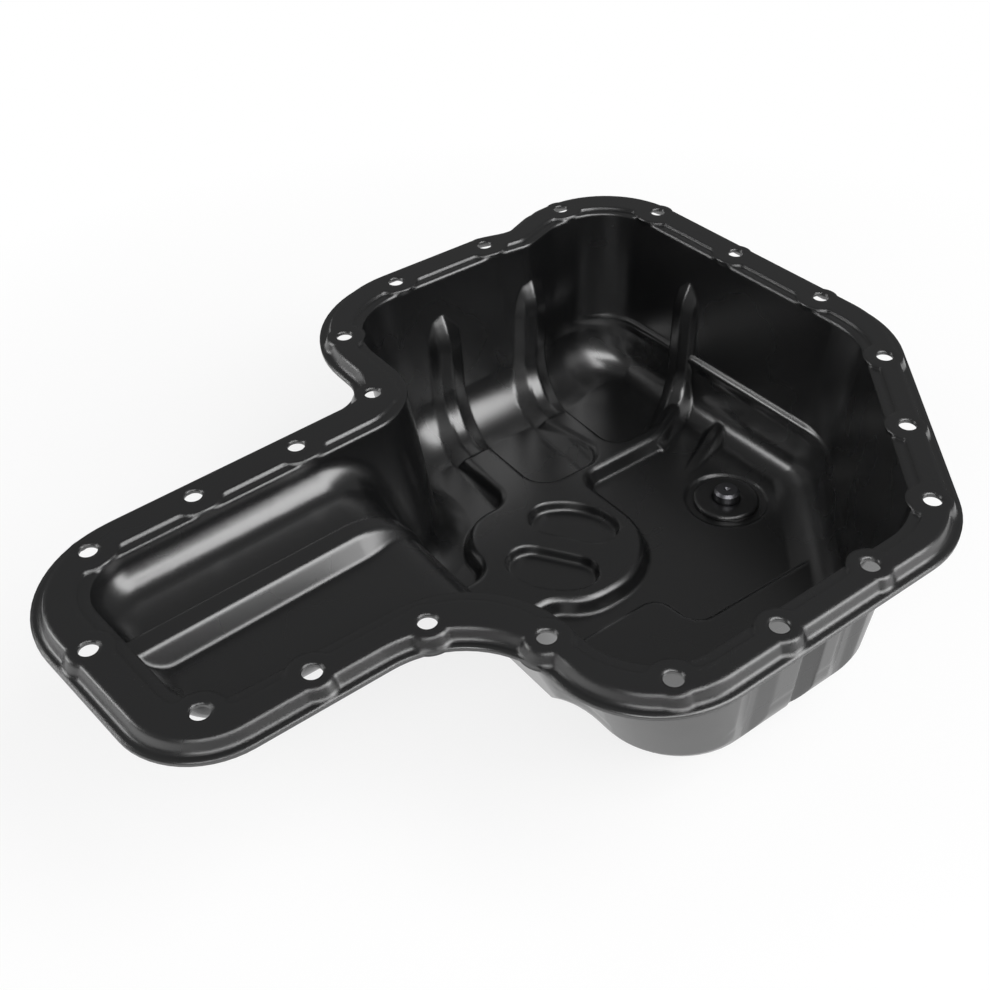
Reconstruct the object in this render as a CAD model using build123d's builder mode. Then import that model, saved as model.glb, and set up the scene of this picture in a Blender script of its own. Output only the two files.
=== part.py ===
from build123d import *
import math
import os

# Driving sizes, in millimetres

SHEET = 1.6                 # steel sheet thickness
FLANGE_Z = 100.0            # sealing face above the lowest point of the plug head
SHIFT_X = -22.0             # puts the middle of the overall box on the Z axis
SHIFT_Y = -24.1
SUMP_DEPTH = 85.0           # sealing face down to the inside of the sump floor
ARM_DEPTH = 15.0            # sealing face down to the inside of the shallow arm
FLOOR_FILLET = 12.0         # inside radius where the walls meet the arm's floor and the step
DRAFT = 5.0                 # wall draft in degrees
BOLT_HOLE_D = 7.0           # clearance for M6 screws
PAD_R = 7.4                 # flat round pad about each screw hole
LEDGE_STEP = 1.2            # inner ledge below the sealing face
LEDGE_WIDTH = 4.2
LIP_DROP = 6.0              # underside of the outer lip below the sealing face
LIP_RUN = 2.8               # the turned-down edge slopes outward by this much
LIP_WIDTH = 2.5             # flat rim outside the turned-down edge
PLATFORM_RISE = 7.0         # raised floor above the sump floor
DRAIN = (140.5, 13.0)       # axis of the drain plug
DRAIN_SEAT_R = 19.5         # round seat pressed into the floor
DRAIN_SEAT_DEPTH = 1.0
THREAD_D = 12.0             # M12 drain thread
BOSS_D = 30.0
BOSS_THICK = 2.6
GASKET_THICK = 1.5
GASKET_R = 10.0
PLUG_FLANGE_R = 11.0
PLUG_FLANGE_THICK = 2.5
PLUG_PROUD = 4.8            # plug end above the weld nut
HEX_ACROSS = 14.0

# Outlines as corner points with corner radii, seen from above

CAVITY_TOP = [
    (-21.5, -105.5, 29), (109.5, -105.5, 34), (185.5, -12, 40), (185.5, 151, 28),
    (148, 149.5, 18), (128, 142.5, 18), (110, 145, 18), (18, 145, 34),
    (18, 66, 30), (-142.5, 58, 20), (-136, -25.5, 18), (-21.5, -25.5, 42),
]
CAVITY_BOTTOM = [
    (4, -98, 34), (99.5, -98, 36), (177, -5, 38), (177, 144, 25),
    (146, 142.6, 30), (128, 136.7, 18), (110, 138, 30), (27, 138, 32),
    (27, 60, 32), (-140, 51.6, 14), (-133.5, -19.5, 12), (4, -19.5, 38),
]
# Wide radius between each wall and the sump floor, from the wall after each corner above,
# and the heights above the floor at which that rounding is drawn
WALL_FILLETS = (27, 20, 10, 27, 27, 27, 27, 20, 12, 12, 12, 27)
FILLET_HEIGHTS = (0, 0.4, 1.5, 3.5, 6.5, 10.5, 15.5, 21.5, 30)
FLANGE_EDGE = [
    (-32, -117.5, 36), (116, -117.5, 40), (201.5, -12, 50), (201.5, 168.4, 42),
    (149, 165.2, 18), (128, 156.5, 18), (112, 161.7, 18), (6, 161.5, 50),
    (5, 84, 20), (-161.5, 74.9, 42), (-150.3, -40.0, 27), (-33, -38.3, 42),
]
PLATFORM_EDGE = [
    (-30, 4, 0), (31.3, 4, 10), (42.3, -7, 25), (96, -7, 38), (96, 60, 7), (146, 60, 30),
    (195, 84, 0), (195, 102, 0), (150, 74, 24), (124.5, 73, 8), (126, 112, 0),
    (106, 112, 0), (112, 71, 9), (77, 71, 10), (78, 112, 0), (57, 112, 0),
    (55, 73, 7), (20, 73, 26), (20, 40, 8), (-30, 40, 0),
]
SHELF_EDGE = [
    (-30, -130, 0), (150, -130, 0), (150, -40, 14), (73, -38, 8), (71, -15, 9),
    (-30, -15, 0),
]
SHELF_RISE = 3.0
RECESS_DISC = (57.5, 31, 29.5)
RECESS_BAR = 9.0
RECESS_TURN = -57
RECESS_DEPTH = 4.5

# Ribs as a path on the sheet, then bend radius, base, crest and height. Both ends lie behind
# the sheet, so that a rib fades into the floor and the wall.
WALL_RIBS = [
    (((59.5, 62, -86.5), (72, 139, -83.5), (73, 142.7, -32), (73.5, 152, -16)), 28, 21, 6, 5.0),
    (((110.5, 66, -86.5), (120, 138, -83.5), (125, 141.3, -32), (126.5, 150, -16)), 28, 21, 6, 5.0),
    (((140, 64.5, -86.5), (178, 83.5, -83.5), (183, 86.5, -32), (192, 87.5, -16)), 22, 17, 6, 5.0),
    (((134, 36.5, -91), (200, 62.5, -82)), 0, 15, 4, 5.0),
    (((64, -60, -90), (64, -98.5, -86), (64, -103.2, -26), (64, -113, -10)), 14, 15, 5, 5.0),
    (((37, -60, -89), (37, -98.3, -87), (37, -103.0, -34), (37, -112, -12)), 20, 22, 4, 2.4),
    (((86, -60, -89), (86, -98.3, -87), (86, -103.0, -34), (86, -112, -12)), 20, 20, 4, 2.4),
]
ARM_RIB = (((-147.5, 19.2, -15), (-30, 25.2, -15), (-22, 25.6, -60)), 22, 17.5, 8.5, 8.0)

# Screw holes, each with the radius of its flat pad on the inner side
SCREW_HOLES = [
    (160.8, 159.2, 9.8), (195.2, 125.1, 11.5), (195.0, 70.9, 10.8), (195.3, 18.4, 10.8),
    (179.9, -30.5, 9.0), (149.3, -67.5, 9.0), (120.4, -102.4, 9.8), (76.7, -111.2, 8.4),
    (31.5, -112.1, 8.4), (-10.9, -107.5, 9.0), (-30.4, -68.4, 9.0), (-56.8, -38.3, 9.0),
    (-98.1, -33.6, 9.0), (-134.0, -26.2, 9.0), (-150.5, 21.5, 9.0), (-131.0, 67.3, 10.8),
    (-87.5, 71.3, 10.9), (-42.0, 73.4, 10.9), (0.6, 84.5, 11.0), (14.5, 129.0, 9.2),
    (57.6, 153.4, 9.6), (109.6, 154.5, 10.6),
]

STAND = (Align.CENTER, Align.CENTER, Align.MIN)


def level(z):
    """Horizontal plane at a height measured from the sealing face."""
    return Plane(origin=(SHIFT_X, SHIFT_Y, FLANGE_Z + z))


def outline(corners, grow=0.0):
    """Closed outline with a rounded corner at every point, grown or shrunk."""
    starts, mids, ends = [], [], []
    for i, (x, y, r) in enumerate(corners):
        corner = Vector(x, y)
        before = (Vector(*corners[i - 1][:2]) - corner).normalized()
        after = (Vector(*corners[(i + 1) % len(corners)][:2]) - corner).normalized()
        half = math.acos(before.dot(after)) / 2
        inward = (before + after).normalized()
        starts.append(corner + before * (r / math.tan(half)))
        ends.append(corner + after * (r / math.tan(half)))
        mids.append(corner + inward * (r / math.sin(half) - r))
    with BuildSketch() as shape:
        with BuildLine():
            for i, (x, y, r) in enumerate(corners):
                if r > 0:
                    ThreePointArc(starts[i], mids[i], ends[i])
                Line(ends[i], starts[(i + 1) % len(corners)])
        make_face()
        if grow:
            offset(amount=grow, kind=Kind.INTERSECTION)
    return shape.sketch


def floor_edges(form):
    """Edges where the walls of a cup form meet its floors and the step between them."""
    sump = form.faces().sort_by_distance(level(-SUMP_DEPTH).from_local_coords((80, 20, 0)))[0]
    arm = form.faces().sort_by_distance(level(-ARM_DEPTH).from_local_coords((-90, 20, 0)))[0]
    bend = form.faces().sort_by_distance(level(-ARM_DEPTH).from_local_coords((-27, 20, -3)))[0]
    slope = form.faces().sort_by_distance(level(-50).from_local_coords((-12, 20, 0)))[0]
    smooth = list(bend.edges().filter_by(Axis.Y))
    chosen = ShapeList()
    for face in (sump, arm, bend, slope):
        for edge in face.edges():
            if not any(edge.is_same(other) for other in list(chosen) + smooth):
                chosen.append(edge)
    return chosen


def fillet_reach(radius, height):
    """How far a wide fillet reaches inward from the drafted wall, at a height above the floor."""
    draft = math.radians(DRAFT)
    if height >= radius * (1 - math.sin(draft)):
        return 0.0
    centre = radius * (1 - math.sin(draft)) / math.cos(draft)
    return centre - math.sqrt(radius**2 - (radius - height) ** 2) + height * math.tan(draft)


def plan_section(height, grow):
    """Corners of the sump's plan at a height above its floor, each wall with its own fillet."""
    share = (height - grow) / SUMP_DEPTH
    walls = [[low + (high - low) * share for low, high in zip(*pair)]
             for pair in zip(CAVITY_BOTTOM, CAVITY_TOP)]
    corners = []
    for i, (x, y, r) in enumerate(walls):
        here = Vector(x, y)
        before = (here - Vector(*walls[i - 1][:2])).normalized()
        after = (Vector(*walls[(i + 1) % len(walls)][:2]) - here).normalized()
        first = fillet_reach(WALL_FILLETS[i - 1] + grow, height) - grow
        second = fillet_reach(WALL_FILLETS[i] + grow, height) - grow
        turn = before.cross(after).Z
        side_shift = Vector(-before.Y, before.X) * first
        change = Vector(-after.Y, after.X) * second - side_shift
        point = here + side_shift + before * (change.cross(after).Z / turn)
        mean = math.copysign((first + second) / 2, turn)
        corners.append((point.X, point.Y, r - mean))
    return corners


def wide_sump(grow):
    """Sump with the wide soft rounding between its walls and floor, drawn by lofted sections."""
    floor_z = -SUMP_DEPTH - grow
    rim = FILLET_HEIGHTS[-1]
    with BuildPart() as form:
        for height in FILLET_HEIGHTS:
            with BuildSketch(level(floor_z + height)):
                add(outline(plan_section(height, grow)))
        loft()
        for height in (rim, SUMP_DEPTH + grow + 1):
            with BuildSketch(level(floor_z + height)):
                add(outline(plan_section(height, grow)))
        loft(ruled=True)
    return form.part


def cup(grow):
    """Inside form of the pan, or its outside form when grown by the sheet."""
    with BuildPart() as form:
        with BuildSketch(level(0)):
            add(outline(CAVITY_TOP, grow))
        with BuildSketch(level(-SUMP_DEPTH - grow)):
            add(outline(CAVITY_BOTTOM, grow))
        loft(ruled=True)
        with BuildSketch(Plane(level(0).origin, x_dir=(1, 0, 0), z_dir=(0, -1, 0))):
            add(outline([(-200, -ARM_DEPTH, 0), (-26.2, -ARM_DEPTH, 20), (4, -SUMP_DEPTH - 5, 0),
                         (-200, -SUMP_DEPTH - 5, 0)], -grow))
        extrude(amount=200, both=True, mode=Mode.SUBTRACT)
        fillet(floor_edges(form), FLOOR_FILLET + grow)
        add(wide_sump(grow + 0.15), mode=Mode.INTERSECT)
    return form.part


def rib(path, radius, base, crest, height, grow):
    """Pressed rib with a rounded crest, swept along the sheet."""
    points = [Vector(*level(z).from_local_coords((x, y, 0))) for x, y, z in path]
    points[0] += (points[1] - points[0]).normalized() * grow
    points[-1] += (points[-2] - points[-1]).normalized() * grow
    with BuildLine() as spine:
        if radius:
            FilletPolyline(*points, radius=radius)
        else:
            Line(*points)
    along = (spine.line % 0).normalized()
    across = Vector(0, 0, 1).cross(along).normalized()
    with BuildPart() as bar:
        with BuildSketch(Plane(spine.line @ 0, x_dir=across, z_dir=along)):
            add(outline([(-base / 2, -6, 0), (base / 2, -6, 0), (base / 2, 0, 0),
                         (crest / 2, height, 2.2), (-crest / 2, height, 2.2), (-base / 2, 0, 0)], -grow))
        sweep(path=spine.line)
    return bar.part


def raised(corners, base_z, rise, bevel, grow):
    """Raised area of the floor with steep sides and a softer slope at the upper edge."""
    side = rise + 2 - bevel - grow
    with BuildPart() as pad:
        with BuildSketch(level(base_z - 2)):
            add(outline(corners, 1 - grow))
        extrude(amount=side, taper=27)
        with BuildSketch(level(base_z - 2 + side)):
            add(outline(corners, 1 - grow - side * math.tan(math.radians(27))))
        extrude(amount=bevel, taper=58)
    return pad.part


def recesses(grow):
    """Two half-round hollows in the raised floor and the round seat at the drain."""
    with BuildPart() as hollow:
        with BuildSketch(level(PLATFORM_RISE - SUMP_DEPTH + 1)) as halves:
            with Locations(RECESS_DISC[:2]):
                Circle(RECESS_DISC[2])
                Rectangle(3 * RECESS_DISC[2], RECESS_BAR, rotation=RECESS_TURN, mode=Mode.SUBTRACT)
            fillet(halves.vertices(), 11)
            offset(amount=0.4 + grow, kind=Kind.ARC)
        extrude(amount=-RECESS_DEPTH - 1 - grow, taper=22)
        with Locations(level(-SUMP_DEPTH - DRAIN_SEAT_DEPTH - grow)):
            with Locations(DRAIN):
                Cone(DRAIN_SEAT_R - 1 + grow, DRAIN_SEAT_R + 2 + grow, 3, align=STAND)
    return hollow.part


def scallops(grow):
    """Cones under the screw pads that dent the upper walls."""
    with BuildPart() as cones:
        with Locations(level(-16)):
            for x, y, r in SCREW_HOLES:
                with Locations((x, y)):
                    Cone(r - 6 - grow, r - grow, 16, align=STAND)
    return cones.part


def form(grow):
    """Complete pressed form, inside surface or grown by the sheet."""
    with BuildPart() as shape:
        add(cup(grow))
        add(raised(PLATFORM_EDGE, -SUMP_DEPTH, PLATFORM_RISE, 1.2, grow), mode=Mode.SUBTRACT)
        add(raised(SHELF_EDGE, -SUMP_DEPTH, SHELF_RISE, 0.9, grow), mode=Mode.SUBTRACT)
        for ridge in WALL_RIBS + [ARM_RIB]:
            add(rib(*ridge, grow), mode=Mode.SUBTRACT)
        add(scallops(grow), mode=Mode.SUBTRACT)
        add(recesses(grow))
    return shape.part


def skirt(grow, top):
    """Flange block with its turned-down edge, from a starting height to the lip."""
    run = LIP_RUN * -top / LIP_DROP
    with BuildPart() as block:
        with BuildSketch(level(top)):
            add(outline(FLANGE_EDGE, run + grow))
        extrude(amount=-LIP_DROP - top, taper=-math.degrees(math.atan(LIP_RUN / LIP_DROP)))
        with Locations(level(-LIP_DROP)):
            for x, y, r in SCREW_HOLES:
                with Locations((x, y)):
                    Cone(PAD_R + LIP_RUN + grow, PAD_R + run + grow, LIP_DROP + top, align=STAND)
    return block.part


def ledge(grow, z, thick):
    """Narrow step along the inner side of the flange, left out at the screw pads."""
    with BuildPart() as step:
        with BuildSketch(level(z)) as plan:
            add(outline(CAVITY_TOP, LEDGE_WIDTH + grow))
            for x, y, r in SCREW_HOLES:
                with Locations((x, y)):
                    Circle(r - grow, mode=Mode.SUBTRACT)
            offset(amount=-2, kind=Kind.ARC)
            offset(amount=2, kind=Kind.ARC)
        extrude(amount=thick)
    return step.part


inside = form(0)
outside = form(SHEET)
side_gap = SHEET * math.sqrt(1 + (LIP_RUN / LIP_DROP) ** 2)

with BuildPart() as pan_stamping:
    add(skirt(0, 0))
    with BuildSketch(level(-LIP_DROP)):
        add(outline(FLANGE_EDGE, LIP_RUN + LIP_WIDTH))
    extrude(amount=SHEET)
    add(skirt(-side_gap, -SHEET), mode=Mode.SUBTRACT)
    add(ledge(SHEET, -LEDGE_STEP - SHEET, SHEET))
    add(outside)
    add(ledge(0, -LEDGE_STEP, LEDGE_STEP + 5), mode=Mode.SUBTRACT)
    add(inside, mode=Mode.SUBTRACT)
    with Locations(level(0)):
        with Locations(*[(x, y) for x, y, r in SCREW_HOLES]):
            Hole(BOLT_HOLE_D / 2, depth=8)
        with Locations(DRAIN):
            Hole(THREAD_D / 2 + 2.5)

# Weld nut for the drain: a thin disc inside the sump with a hub through the sheet

SEAT_Z = -SUMP_DEPTH - DRAIN_SEAT_DEPTH
UNDER_Z = SEAT_Z - SHEET
HUB_R = THREAD_D / 2 + 2.45

with BuildPart() as drain_boss:
    with Locations(level(SEAT_Z)):
        with Locations(DRAIN):
            Cylinder(BOSS_D / 2, BOSS_THICK, align=STAND)
    with Locations(level(UNDER_Z)):
        with Locations(DRAIN):
            Cylinder(HUB_R, SHEET, align=STAND)
    chamfer(drain_boss.faces().sort_by(Axis.Z)[-1].edges(), 0.4)
    with Locations(level(UNDER_Z)):
        with Locations(DRAIN):
            Cylinder(THREAD_D / 2, SHEET + BOSS_THICK, align=STAND, mode=Mode.SUBTRACT)
    chamfer(drain_boss.faces().sort_by(Axis.Z)[-1].inner_wires().edges(), 0.7)

# Sealing ring between the plug flange and the underside of the pan

GASKET_Z = UNDER_Z - GASKET_THICK

with BuildPart() as drain_gasket:
    with BuildSketch(level(GASKET_Z)):
        with Locations(DRAIN):
            Circle(GASKET_R)
            Circle(THREAD_D / 2 + 0.25, mode=Mode.SUBTRACT)
    extrude(amount=GASKET_THICK)
    chamfer(drain_gasket.edges().filter_by(GeomType.CIRCLE), 0.15)

# Hexagon flange plug with the thread drawn as a plain shank

HEX_HEIGHT = FLANGE_Z + GASKET_Z - PLUG_FLANGE_THICK
SHANK_TOP = SEAT_Z + BOSS_THICK + PLUG_PROUD

with BuildPart() as drain_plug:
    with BuildSketch(level(GASKET_Z)):
        with Locations(DRAIN):
            Circle(PLUG_FLANGE_R)
    extrude(amount=-PLUG_FLANGE_THICK)
    chamfer(drain_plug.faces().sort_by(Axis.Z)[0].edges(), 0.8)
    with BuildSketch(level(-FLANGE_Z)):
        with Locations(DRAIN):
            RegularPolygon(HEX_ACROSS / 2, 6, major_radius=False)
    extrude(amount=HEX_HEIGHT)
    with BuildSketch(level(-FLANGE_Z)):
        with Locations(DRAIN):
            Circle(HEX_ACROSS / 2 - 0.2)
            Circle(3 * HEX_ACROSS, mode=Mode.ADD)
            Circle(HEX_ACROSS / 2 - 0.2, mode=Mode.SUBTRACT)
    extrude(amount=4, taper=60, mode=Mode.SUBTRACT)
    with BuildSketch(level(GASKET_Z)):
        with Locations(DRAIN):
            Circle(THREAD_D / 2 - 0.05)
    extrude(amount=SHANK_TOP - GASKET_Z)
    chamfer(drain_plug.faces().sort_by(Axis.Z)[-1].edges(), 1.2)
    with Locations(level(SHANK_TOP - 1.0)):
        with Locations(DRAIN):
            Cone(0.3, 1.5, 1.0, align=STAND, mode=Mode.SUBTRACT)

os.makedirs("parts", exist_ok=True)
pan_stamping.part.label = "pan_stamping"
export_step(pan_stamping.part, "parts/pan_stamping.step")
drain_boss.part.label = "drain_boss"
export_step(drain_boss.part, "parts/drain_boss.step")
drain_gasket.part.label = "drain_gasket"
export_step(drain_gasket.part, "parts/drain_gasket.step")
drain_plug.part.label = "drain_plug"
export_step(drain_plug.part, "parts/drain_plug.step")
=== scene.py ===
import math

import bpy
from bpy.props import FloatProperty, FloatVectorProperty, PointerProperty
from bpy.types import Operator, Panel, PropertyGroup
from mathutils import Matrix, Vector


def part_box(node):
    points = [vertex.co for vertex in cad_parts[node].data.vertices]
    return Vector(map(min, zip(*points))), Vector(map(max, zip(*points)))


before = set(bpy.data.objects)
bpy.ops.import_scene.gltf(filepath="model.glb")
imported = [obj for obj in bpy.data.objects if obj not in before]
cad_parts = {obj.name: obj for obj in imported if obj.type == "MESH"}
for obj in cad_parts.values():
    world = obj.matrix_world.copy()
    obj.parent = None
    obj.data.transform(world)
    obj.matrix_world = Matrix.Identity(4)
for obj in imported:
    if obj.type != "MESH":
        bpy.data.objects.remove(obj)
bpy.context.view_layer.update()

bl_info = {
    "name": "Engine Oil Pan",
    "version": (1, 0, 0),
    "blender": (4, 5, 0),
    "location": "View3D > Sidebar > Oil Pan",
    "description": "Dresses a pressed steel engine oil pan with its black dip coat and drain plug",
    "category": "Object",
}

# The height of the flange's top face, the top of the pan stamping's box
FLANGE_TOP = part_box("pan_stamping")[1][2]

# The lights face this point, a little above the floor
LIGHT_TARGET = (0, 0, 0.03)

# Name, place, width and height of each light, and the setting that holds its power
SOFTBOXES = (
    ("main softbox", (-0.50, -1.25, 1.34), (2.0, 0.7), "power"),
    ("right softbox", (0.78, -1.11, 1.13), (0.8, 2.2), "right_power"),
    ("left softbox", (-1.25, 1.22, 0.87), (0.9, 0.7), "left_power"),
)

# The floor's colour in the light, its own glow near the pan, and how that glow grows to plain
# white between 0.25 and 0.5 m from the middle
FLOOR_GREY = 0.9
GLOW_NEAR = 0.8
FADE_SLOPE = 4.0
FADE_START = 1.0

# Patterns in the finishes: waves a metre, layers of finer waves and how strong those are
CLOUDS = (14.0, 3.0, 0.55)
FLOW = (130.0, 2.0, 0.5)
TOOL_MARKS = (600.0, 2.0, 0.5)
GRAIN_LAYERS = (2.0, 0.5)

# How far the clouds change the coat's roughness either way, and how much lighter they make it
CLOUD_GLOSS = 0.03
CLOUD_TINT = 1.5

# Share of the fine grain beside the slower flow in the coat's ripples, and their strength
GRAIN_SHARE = 0.6
RIPPLE_STRENGTH = 0.35

# Samples taken round each point where the coat rounds over a pressed edge
EDGE_SAMPLES = 8

# Roughness of the plug and of its ring, and how much their tool marks add
PLUG_ROUGHNESS = 0.3
RING_ROUGHNESS = 0.35
MARK_GLOSS = 0.15

# Sockets that share a name with others on their node, by number
MIX_FIRST, MIX_SECOND, MIX_RESULT = 6, 7, 2
SHADER_SHARE, SHADER_FIRST, SHADER_SECOND = 0, 1, 2

# Width of the camera's sensor in millimetres, which its focal length belongs to
SENSOR_WIDTH = 36.0


class CoatSettings(PropertyGroup):
    """Sizes and colours of the dip coat on the pan."""

    colour: FloatVectorProperty(
        name="Coat Colour", description="Colour of the black dip coat",
        subtype="COLOR", size=3, min=0, max=1, default=(0.0020, 0.0021, 0.0023))
    roughness: FloatProperty(
        name="Roughness", description="Middle roughness of the coat", min=0, max=1, default=0.27,
        subtype="FACTOR")
    grain: FloatProperty(
        name="Grain Size", description="Width of the fine ripples in the coat", unit="LENGTH",
        default=0.0022)
    ripple: FloatProperty(
        name="Ripple Height", description="Height of the fine ripples in the coat", unit="LENGTH",
        default=0.000005)
    edge: FloatProperty(
        name="Edge Softness", description="Radius that the coat rounds over a pressed edge",
        unit="LENGTH", default=0.0024)
    gloss: FloatProperty(
        name="Coat Index", description="Index of refraction of the coat, which sets its gloss",
        min=1, max=3, default=2.0)


class PlugSettings(PropertyGroup):
    """Sizes and colours of the drain plug and its sealing ring."""

    steel: FloatVectorProperty(
        name="Plug Colour", description="Colour of the plated plug", subtype="COLOR", size=3,
        min=0, max=1, default=(0.16, 0.16, 0.17))
    ring: FloatVectorProperty(
        name="Ring Colour", description="Colour of the sealing ring", subtype="COLOR", size=3,
        min=0, max=1, default=(0.62, 0.63, 0.64))


class StageSettings(PropertyGroup):
    """Camera, floor and light."""

    camera_place: FloatVectorProperty(
        name="Camera Place", description="Where the camera stands", subtype="TRANSLATION", size=3,
        default=(-0.23309, -0.32333, FLANGE_TOP + 0.30239))
    turn: FloatProperty(
        name="Camera Turn", description="Compass turn of the camera from straight along Y",
        subtype="ANGLE", default=math.radians(-35.2))
    pitch: FloatProperty(
        name="Camera Pitch", description="How far the camera looks down", subtype="ANGLE",
        default=0.690255)
    roll: FloatProperty(
        name="Camera Roll", description="Roll of the camera about its line of sight",
        subtype="ANGLE", default=-0.046802)
    lens: FloatProperty(
        name="Focal Length", description="Focal length in millimetres on a 36 mm sensor",
        default=46.85)
    floor_size: FloatProperty(
        name="Floor Size", description="Side of the square floor", unit="LENGTH", default=30.0)
    world: FloatProperty(
        name="World Level", description="Brightness of the even light all round", min=0,
        default=0.16)
    power: FloatProperty(
        name="Main Softbox", description="Power of the softbox above the camera, in watts",
        min=0, default=22.0)
    right_power: FloatProperty(
        name="Right Softbox", description="Power of the softbox in front on the right, in watts",
        min=0, default=26.0)
    left_power: FloatProperty(
        name="Left Softbox", description="Power of the softbox behind on the left, in watts",
        min=0, default=10.0)


class Wave:
    """A value in a material: sums, differences and products of it add their Math nodes."""

    def __init__(self, finish, socket):
        self.finish = finish
        self.socket = socket

    def other(self, name):
        """Another output of the same node."""
        return Wave(self.finish, self.socket.node.outputs[name])

    def clamped(self):
        """The same value, held between 0 and 1."""
        return self.finish.node("ShaderNodeClamp", {}, {"Value": self})

    def _math(self, operation, first, second):
        return self.finish.node("ShaderNodeMath", {"operation": operation}, {0: first, 1: second})

    def __add__(self, other):
        return self._math("ADD", self, other)

    __radd__ = __add__

    def __mul__(self, other):
        return self._math("MULTIPLY", self, other)

    __rmul__ = __mul__

    def __sub__(self, other):
        return self._math("SUBTRACT", self, other)

    def __rsub__(self, other):
        return self._math("SUBTRACT", other, self)


class Finish:
    """A material or a world under construction, with one method that adds any node."""

    def __init__(self, owner):
        owner.use_nodes = True
        self.owner = owner
        self.tree = owner.node_tree
        self.tree.nodes.clear()

    def node(self, kind, settings=None, values=None, output=0):
        """Adds a node, applies its settings, then its socket values or links.

        Returns the named or numbered output, or the node itself where it has none.
        """
        made = self.tree.nodes.new(kind)
        for key, value in (settings or {}).items():
            setattr(made, key, value)
        for key, value in (values or {}).items():
            if isinstance(value, Wave):
                self.tree.links.new(value.socket, made.inputs[key])
            else:
                made.inputs[key].default_value = value
        return Wave(self, made.outputs[output]) if made.outputs else made

    def noise(self, waves, layers, strength):
        """A noise pattern that stays fixed to the piece."""
        place = self.node("ShaderNodeTexCoord", output="Object")
        return self.node("ShaderNodeTexNoise", {},
                         {"Vector": place, "Scale": waves, "Detail": layers,
                          "Roughness": strength})

    def mixed_shader(self, share, first, second):
        """One shader that turns into another as the share goes from 0 to 1."""
        return self.node("ShaderNodeMixShader", {},
                         {SHADER_SHARE: share, SHADER_FIRST: first, SHADER_SECOND: second})


def plain_colour(colour):
    """A colour with the full opacity that a colour socket asks for."""
    return (*colour, 1.0)


def grey(level):
    """A grey for a colour socket."""
    return plain_colour((level, level, level))


def coat_finish(settings, name):
    """Satin black dip coat: soft ripples, small cloudiness in the gloss, eased edges."""
    coat = Finish(bpy.data.materials.new(name))
    clouds = coat.noise(*CLOUDS)
    grain = coat.noise(1.0 / settings.grain, *GRAIN_LAYERS)
    flow = coat.noise(*FLOW)
    rough = settings.roughness - CLOUD_GLOSS + clouds * (2 * CLOUD_GLOSS)
    deep = plain_colour(settings.colour)
    worn = plain_colour([min(1.0, part * CLOUD_TINT) for part in settings.colour])
    tint = coat.node("ShaderNodeMix", {"data_type": "RGBA"},
                     {"Factor": clouds, MIX_FIRST: deep, MIX_SECOND: worn}, output=MIX_RESULT)
    eased = coat.node("ShaderNodeBevel", {"samples": EDGE_SAMPLES}, {"Radius": settings.edge})
    bump = coat.node("ShaderNodeBump", {},
                     {"Strength": RIPPLE_STRENGTH, "Distance": settings.ripple,
                      "Height": grain * GRAIN_SHARE + flow, "Normal": eased})
    surface = coat.node("ShaderNodeBsdfPrincipled", {},
                        {"Base Color": tint, "Roughness": rough, "Metallic": 0.0,
                         "IOR": settings.gloss, "Normal": bump})
    coat.node("ShaderNodeOutputMaterial", {}, {"Surface": surface})
    return coat.owner


def metal_finish(colour, roughness, name):
    """Plain turned or plated metal with faint tool marks in its gloss."""
    metal = Finish(bpy.data.materials.new(name))
    marks = metal.noise(*TOOL_MARKS)
    surface = metal.node("ShaderNodeBsdfPrincipled", {},
                         {"Base Color": plain_colour(colour), "Metallic": 1.0,
                          "Roughness": marks * MARK_GLOSS + roughness})
    metal.node("ShaderNodeOutputMaterial", {}, {"Surface": surface})
    return metal.owner


def floor_finish():
    """White floor that takes the object's shadow and fades to plain white further out.

    It is clear from below, so that the underside can be looked at.
    """
    floor = Finish(bpy.data.materials.new("white floor"))
    place = floor.node("ShaderNodeTexCoord", output="Object")
    away = floor.node("ShaderNodeVectorMath", {"operation": "LENGTH"}, {"Vector": place},
                      output="Value")
    fade = (away * FADE_SLOPE - FADE_START).clamped()
    seen = floor.node("ShaderNodeLightPath", output="Is Camera Ray")
    lit = floor.node("ShaderNodeBsdfDiffuse", {}, {"Color": grey(FLOOR_GREY)})
    glow = floor.node("ShaderNodeEmission", {}, {"Color": grey(1.0), "Strength": 1.0})
    share = (seen * (fade * (1 - GLOW_NEAR) + GLOW_NEAR) + seen.other("Is Glossy Ray")
             + seen.other("Is Transmission Ray")).clamped()
    top = floor.mixed_shader(share, lit, glow)
    below = floor.node("ShaderNodeNewGeometry", output="Backfacing")
    clear = floor.node("ShaderNodeBsdfTransparent", {}, {"Color": grey(1.0)})
    floor.node("ShaderNodeOutputMaterial", {}, {"Surface": floor.mixed_shader(below, top, clear)})
    return floor.owner


def studio_world(level):
    """Even grey light all round, which the camera sees as white."""
    world = Finish(bpy.data.worlds.new("studio"))
    seen = world.node("ShaderNodeLightPath", output="Is Camera Ray")
    dim = world.node("ShaderNodeBackground", {}, {"Color": grey(level)})
    white = world.node("ShaderNodeBackground", {}, {"Color": grey(1.0)})
    world.node("ShaderNodeOutputWorld", {}, {"Surface": world.mixed_shader(seen, dim, white)})
    return world.owner


def repaint(node_name, material):
    """Gives a CAD node one finish all over."""
    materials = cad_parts[node_name].data.materials
    materials.clear()
    materials.append(material)


class OILPAN_OT_pan(Operator):
    """Coat the pan and its weld nut"""

    bl_idname = "oilpan.pan"
    bl_label = "Pan"

    def execute(self, context):
        coat = coat_finish(context.scene.oilpan_coat, "black dip coat")
        repaint("pan_stamping", coat)
        repaint("drain_boss", coat)
        return {"FINISHED"}


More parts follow.
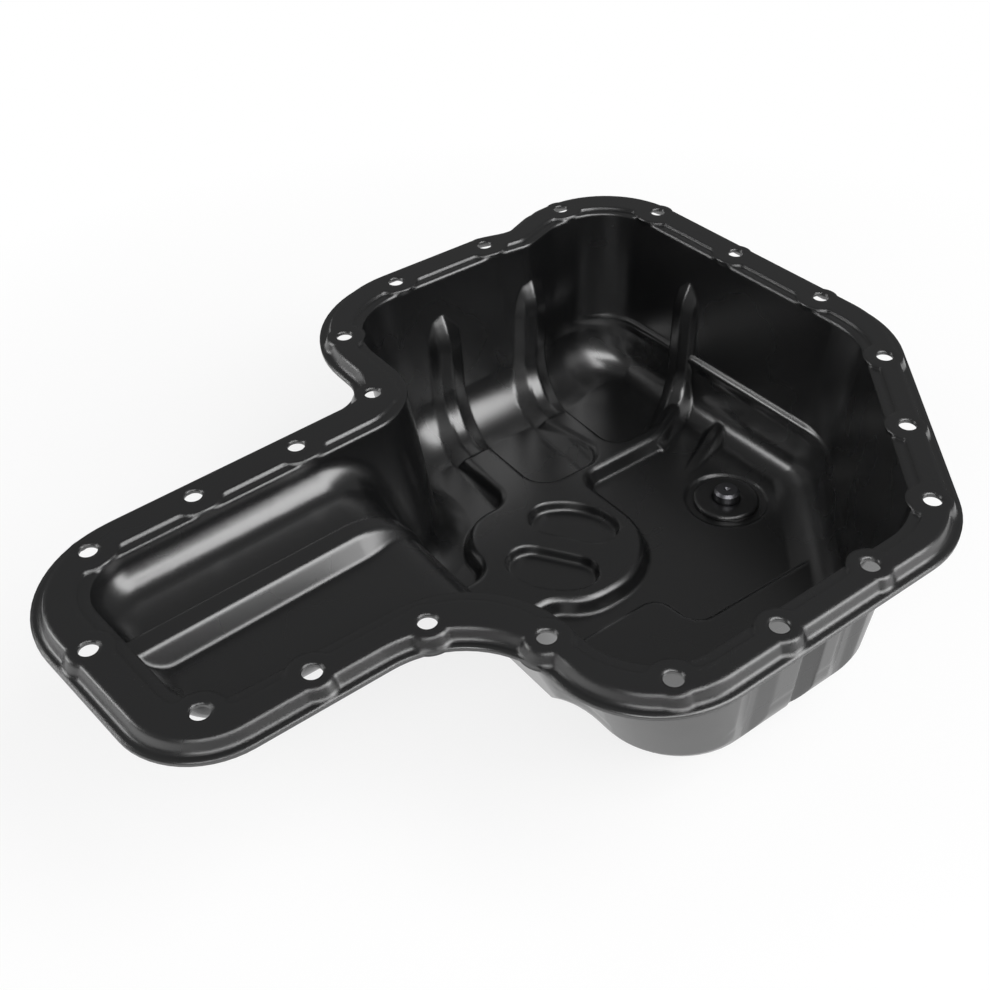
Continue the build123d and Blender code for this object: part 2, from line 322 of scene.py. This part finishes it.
class OILPAN_OT_plug(Operator):
    """Plate the drain plug and its sealing ring"""

    bl_idname = "oilpan.plug"
    bl_label = "Drain Plug"

    def execute(self, context):
        plug = context.scene.oilpan_plug
        repaint("drain_plug", metal_finish(plug.steel, PLUG_ROUGHNESS, "plated steel"))
        repaint("drain_gasket", metal_finish(plug.ring, RING_ROUGHNESS, "sealing ring metal"))
        return {"FINISHED"}


def softbox(name, place, size, power):
    """Rectangular studio light that faces the pan."""
    light = bpy.data.lights.new(name, "AREA")
    light.shape = "RECTANGLE"
    light.size, light.size_y = size
    light.energy = power
    lamp = bpy.data.objects.new(name, light)
    lamp.location = place
    aim = Vector(LIGHT_TARGET) - Vector(place)
    lamp.rotation_euler = aim.to_track_quat("-Z", "Y").to_euler()
    bpy.context.scene.collection.objects.link(lamp)


class OILPAN_OT_stage(Operator):
    """Set up the camera, the floor and the lights"""

    bl_idname = "oilpan.stage"
    bl_label = "Stage"

    def execute(self, context):
        stage = context.scene.oilpan_stage
        half = stage.floor_size / 2
        mesh = bpy.data.meshes.new("floor")
        corners = [(-half, -half, 0), (half, -half, 0), (half, half, 0), (-half, half, 0)]
        mesh.from_pydata(corners, [], [(0, 1, 2, 3)])
        mesh.materials.append(floor_finish())
        floor = bpy.data.objects.new("floor", mesh)
        context.scene.collection.objects.link(floor)

        context.scene.world = studio_world(stage.world)
        for name, place, size, power in SOFTBOXES:
            softbox(name, place, size, getattr(stage, power))

        lens = bpy.data.cameras.new("photo view")
        lens.lens = stage.lens
        lens.sensor_width = SENSOR_WIDTH
        camera = bpy.data.objects.new("photo view", lens)
        turn = Matrix.Rotation(stage.turn, 4, "Z")
        tilt = Matrix.Rotation(math.pi / 2 - stage.pitch, 4, "X")
        roll = Matrix.Rotation(stage.roll, 4, "Z")
        camera.matrix_world = Matrix.Translation(stage.camera_place) @ (turn @ tilt) @ roll
        context.scene.collection.objects.link(camera)
        context.scene.camera = camera
        context.scene.view_settings.view_transform = "Standard"
        return {"FINISHED"}


class OILPAN_PT_panel(Panel):
    """Lists the pan's pieces and settings"""

    bl_idname = "OILPAN_PT_panel"
    bl_label = "Oil Pan"
    bl_space_type = "VIEW_3D"
    bl_region_type = "UI"
    bl_category = "Oil Pan"

    def draw(self, context):
        layout = self.layout
        scene = context.scene
        layout.operator("oilpan.pan")
        for name in ("colour", "roughness", "grain", "ripple", "edge", "gloss"):
            layout.prop(scene.oilpan_coat, name)
        layout.operator("oilpan.plug")
        for name in ("steel", "ring"):
            layout.prop(scene.oilpan_plug, name)
        layout.operator("oilpan.stage")
        for name in ("camera_place", "turn", "pitch", "roll", "lens", "floor_size", "world",
                     "power", "right_power", "left_power"):
            layout.prop(scene.oilpan_stage, name)


CLASSES = (CoatSettings, PlugSettings, StageSettings, OILPAN_OT_pan, OILPAN_OT_plug,
           OILPAN_OT_stage, OILPAN_PT_panel)


def register():
    for cls in CLASSES:
        bpy.utils.register_class(cls)
    bpy.types.Scene.oilpan_coat = PointerProperty(type=CoatSettings)
    bpy.types.Scene.oilpan_plug = PointerProperty(type=PlugSettings)
    bpy.types.Scene.oilpan_stage = PointerProperty(type=StageSettings)


def unregister():
    del bpy.types.Scene.oilpan_stage
    del bpy.types.Scene.oilpan_plug
    del bpy.types.Scene.oilpan_coat
    for cls in reversed(CLASSES):
        bpy.utils.unregister_class(cls)


def main():
    register()
    bpy.ops.oilpan.pan()
    bpy.ops.oilpan.plug()
    bpy.ops.oilpan.stage()


if __name__ == "__main__":
    main()
